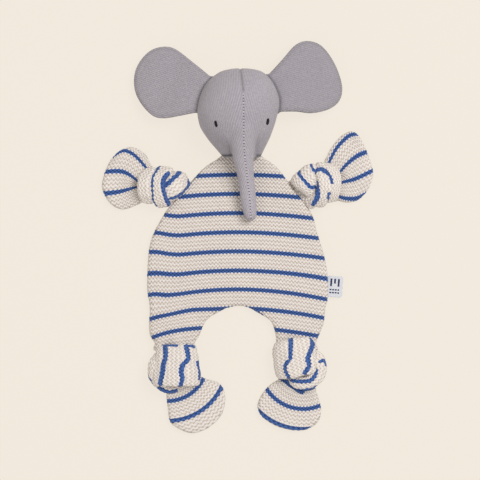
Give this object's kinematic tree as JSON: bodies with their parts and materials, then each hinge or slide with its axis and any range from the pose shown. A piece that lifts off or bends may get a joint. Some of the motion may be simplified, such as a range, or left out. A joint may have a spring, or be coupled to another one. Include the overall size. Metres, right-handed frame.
{
  "type": "knitted elephant comforter",
  "caption": "Flat knitted comforter toy with knotted arms and legs and a stuffed jersey elephant head with long trunk and flat ears.",
  "frame": {"origin": "middle of the toy's plan outline, on the surface that it lies on", "axes": "+Z out of the toy's front, +Y from feet to crown, +X to the right of someone looking down at its face"},
  "size_m": [0.2296, 0.3354, 0.0502],
  "materials": {
    "striped_knit": "coarse cotton purl knit, cream with narrow blue stripes, matt",
    "grey_jersey": "fine cotton jersey, matt warm grey",
    "eye_thread": "black satin-stitch embroidery, slight sheen",
    "seam_thread": "grey sewing thread, matt",
    "wadding": "white polyester wadding, matt",
    "label_satin": "off-white woven satin label, soft sheen"
  },
  "bodies": {
    "chest": {"chest_front_panel": "striped_knit", "chest_back_panel": "striped_knit", "chest_seam_thread": "seam_thread"},
    "belly": {"belly_front_panel": "striped_knit", "belly_back_panel": "striped_knit", "belly_seam_thread": "seam_thread", "side_label": "label_satin"},
    "left_arm": {"left_arm_knot": "striped_knit"},
    "right_arm": {"right_arm_knot": "striped_knit"},
    "left_leg": {"left_leg_knot": "striped_knit"},
    "right_leg": {"right_leg_knot": "striped_knit"},
    "head": {"head_front_left": "grey_jersey", "head_front_right": "grey_jersey", "head_back": "grey_jersey", "head_filling": "wadding", "crown_seam_thread": "seam_thread", "neck_seam_thread": "seam_thread", "left_eye": "eye_thread", "right_eye": "eye_thread"},
    "trunk": {"trunk_cover": "grey_jersey", "trunk_filling": "wadding"},
    "left_hand": {"left_hand_front_panel": "striped_knit", "left_hand_back_panel": "striped_knit", "left_hand_thread": "seam_thread"},
    "left_foot": {"left_foot_front_panel": "striped_knit", "left_foot_back_panel": "striped_knit", "left_foot_thread": "seam_thread"},
    "left_ear": {"left_ear_front": "grey_jersey", "left_ear_back": "grey_jersey", "left_ear_thread": "seam_thread"},
    "right_hand": {"right_hand_front_panel": "striped_knit", "right_hand_back_panel": "striped_knit", "right_hand_thread": "seam_thread"},
    "right_foot": {"right_foot_front_panel": "striped_knit", "right_foot_back_panel": "striped_knit", "right_foot_thread": "seam_thread"},
    "right_ear": {"right_ear_front": "grey_jersey", "right_ear_back": "grey_jersey", "right_ear_thread": "seam_thread"}
  },
  "joints": [
    {"name": "waist_fold", "type": "hinge", "parent": "chest", "child": "belly", "pos_m": [0.001, -0.025, 0.0042], "axis": [-1, 0, 0], "range_deg": [-60, 60]},
    {"name": "left_arm_fold", "type": "hinge", "parent": "chest", "child": "left_arm", "pos_m": [-0.0485, 0.0355, 0.0042], "axis": [0.6018, 0.7986, 0], "range_deg": [-70, 70]},
    {"name": "left_hand_fold", "type": "hinge", "parent": "left_arm", "child": "left_hand", "pos_m": [-0.0766, 0.045, 0.0035], "axis": [0.2756, 0.9613, 0], "range_deg": [-60, 60]},
    {"name": "right_arm_fold", "type": "hinge", "parent": "chest", "child": "right_arm", "pos_m": [0.053, 0.035, 0.0042], "axis": [0.6428, -0.766, 0], "range_deg": [-70, 70]},
    {"name": "right_hand_fold", "type": "hinge", "parent": "right_arm", "child": "right_hand", "pos_m": [0.0804, 0.0486, 0.0035], "axis": [0.2672, -0.9636, 0], "range_deg": [-60, 60]},
    {"name": "left_leg_fold", "type": "hinge", "parent": "belly", "child": "left_leg", "pos_m": [-0.054, -0.09, 0.0042], "axis": [-1, 0, 0], "range_deg": [-70, 70]},
    {"name": "left_foot_fold", "type": "hinge", "parent": "left_leg", "child": "left_foot", "pos_m": [-0.0435, -0.1272, 0.0035], "axis": [-0.9336, -0.3584, 0], "range_deg": [-60, 60]},
    {"name": "right_leg_fold", "type": "hinge", "parent": "belly", "child": "right_leg", "pos_m": [0.05, -0.09, 0.0042], "axis": [-1, 0, 0], "range_deg": [-70, 70]},
    {"name": "right_foot_fold", "type": "hinge", "parent": "right_leg", "child": "right_foot", "pos_m": [0.0525, -0.1256, 0.0035], "axis": [-0.9521, 0.3057, 0], "range_deg": [-60, 60]},
    {"name": "neck_drop", "type": "hinge", "parent": "chest", "child": "head", "pos_m": [0.0035, 0.069, 0.0042], "axis": [-1, 0, 0], "range_deg": [0, 70]},
    {"name": "trunk_lift", "type": "hinge", "parent": "head", "child": "trunk", "pos_m": [0.0064, 0.076, 0.029], "axis": [-1, 0, 0], "range_deg": [0, 80]},
    {"name": "left_ear_flap", "type": "hinge", "parent": "head", "child": "left_ear", "pos_m": [-0.0299, 0.1214, 0.0246], "axis": [0.3355, 0.9421, 0], "range_deg": [-20, 55]},
    {"name": "right_ear_flap", "type": "hinge", "parent": "head", "child": "right_ear", "pos_m": [0.0326, 0.1228, 0.0246], "axis": [0.2974, -0.9548, 0], "range_deg": [-20, 55]}
  ]
}
